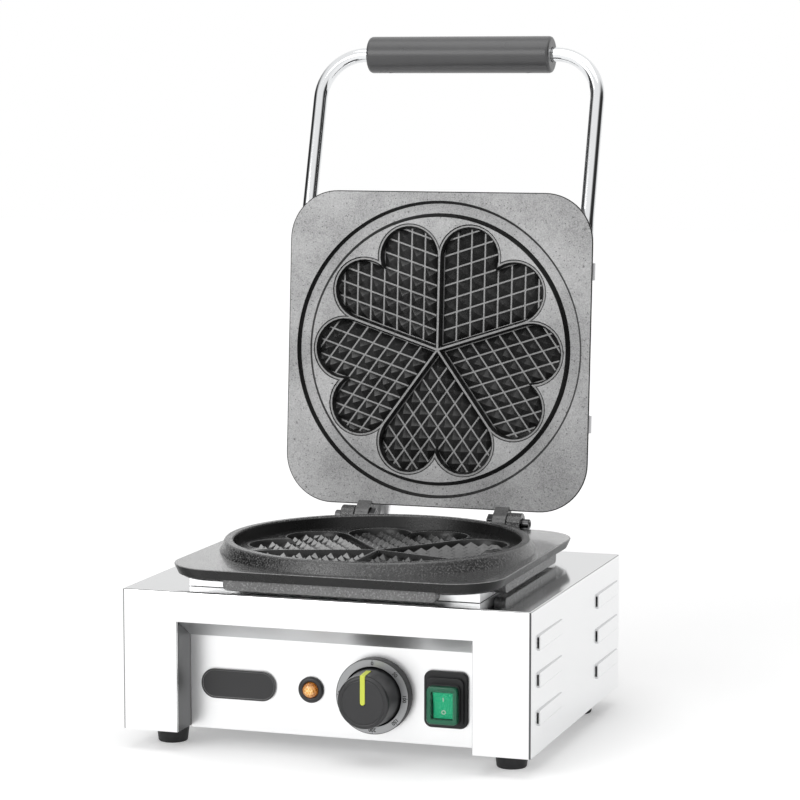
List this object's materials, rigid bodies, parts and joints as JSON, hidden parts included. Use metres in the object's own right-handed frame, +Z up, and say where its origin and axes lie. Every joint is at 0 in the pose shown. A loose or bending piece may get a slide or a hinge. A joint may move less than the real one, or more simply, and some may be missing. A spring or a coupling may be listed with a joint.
{
  "type": "heart waffle maker",
  "caption": "Countertop waffle maker with a steel body, cast plates with heart-shaped pockets, a hinged lid with a loop handle, a dial and a covered rocker switch.",
  "frame": {"origin": "middle of the whole machine's rectangle on the worktop, at the underside of the feet, with the lid open", "axes": "+X to the right seen from the front, +Y to the back where the hinge is, +Z up"},
  "size_m": [0.2788, 0.3119, 0.4591],
  "materials": {
    "body_steel": "satin brushed stainless steel sheet",
    "polished_steel": "polished stainless steel sheet",
    "chrome": "bright chrome plating",
    "cast_iron_dark": "seasoned dark cast iron, slightly glossy",
    "cast_iron_grey": "ground and sand-cast grey iron",
    "black_plastic": "satin black plastic",
    "grip_plastic": "fine textured black heat-resistant plastic",
    "black_rubber": "matt black rubber",
    "dial_metal": "satin silver ring with plain black numbers",
    "pointer_yellow": "yellow-green inlay",
    "amber_lens": "clear amber plastic",
    "green_rocker": "bright green plastic with a plain I and O",
    "green_cover": "clear green flexible cover",
    "heater_sheath": "dull heated steel sheath",
    "mineral_wool": "pressed mineral wool",
    "brass": "plain brass",
    "steel_part": "plain zinc-plated steel",
    "wire_red": "silicone wire sleeve",
    "steatite": "pale steatite"
  },
  "bodies": {
    "base": {"housing": "body_steel", "bottom_plate": "steel_part", "control_panel": "polished_steel", "foot_front_left": "black_rubber", "foot_front_right": "black_rubber", "foot_rear_left": "black_rubber", "foot_rear_right": "black_rubber", "name_badge": "black_plastic", "pilot_bezel": "black_plastic", "pilot_lens": "amber_lens", "pilot_nut": "black_plastic", "dial_bezel": "black_plastic", "dial_scale": "dial_metal", "thermostat_body": "steel_part", "thermostat_nut": "brass", "thermostat_bulb": "brass", "switch_body": "black_plastic", "switch_frame": "black_rubber", "switch_splash_cover": "green_cover", "plinth": "polished_steel", "lower_plate": "cast_iron_dark", "lower_heater": "heater_sheath", "heat_shield": "steel_part", "lower_insulation": "mineral_wool", "thermal_limiter": "steatite", "conduit_elbow": "chrome", "conduit_elbow_nut": "brass", "lid_conduit": "chrome", "inlet_gland": "black_plastic", "inlet_nut": "black_plastic", "terminal_block": "steatite", "switch_wire": "wire_red", "thermostat_wire": "wire_red", "heater_wire_left": "wire_red", "heater_wire_right": "wire_red", "hinge_pin_left": "cast_iron_dark", "hinge_pin_right": "cast_iron_dark", "hinge_nut_left": "cast_iron_dark", "hinge_nut_right": "cast_iron_dark"},
    "lid": {"upper_plate": "cast_iron_grey", "lid_cover": "body_steel", "upper_heater": "heater_sheath", "lid_insulation": "mineral_wool", "lid_gland": "chrome", "handle_rod": "chrome", "handle_grip": "grip_plastic", "grip_screw_left": "steel_part", "grip_screw_right": "steel_part", "rod_clip_left_lower": "chrome", "clip_screw_left_lower": "chrome", "rod_clip_left_upper": "chrome", "clip_screw_left_upper": "chrome", "rod_clip_right_lower": "chrome", "clip_screw_right_lower": "chrome", "rod_clip_right_upper": "chrome", "clip_screw_right_upper": "chrome"},
    "knob": {"temperature_knob": "black_plastic", "knob_pointer": "pointer_yellow", "thermostat_shaft": "steel_part"},
    "rocker": {"switch_rocker": "green_rocker"}
  },
  "joints": [
    {"name": "lid_hinge", "type": "hinge", "parent": "base", "child": "lid", "pos_m": [0, 0.07593, 0.122], "axis": [1, 0, 0], "range_deg": [0, 94], "deforming": ["lid_conduit"]},
    {"name": "dial_turn", "type": "hinge", "parent": "base", "child": "knob", "pos_m": [0.02819, -0.12907, 0.042], "axis": [0, 1, 0], "range_deg": [0, 270]},
    {"name": "switch_rock", "type": "hinge", "parent": "base", "child": "rocker", "pos_m": [0.075, -0.12757, 0.042], "axis": [-1, 0, 0], "range_deg": [0, 14]}
  ]
}
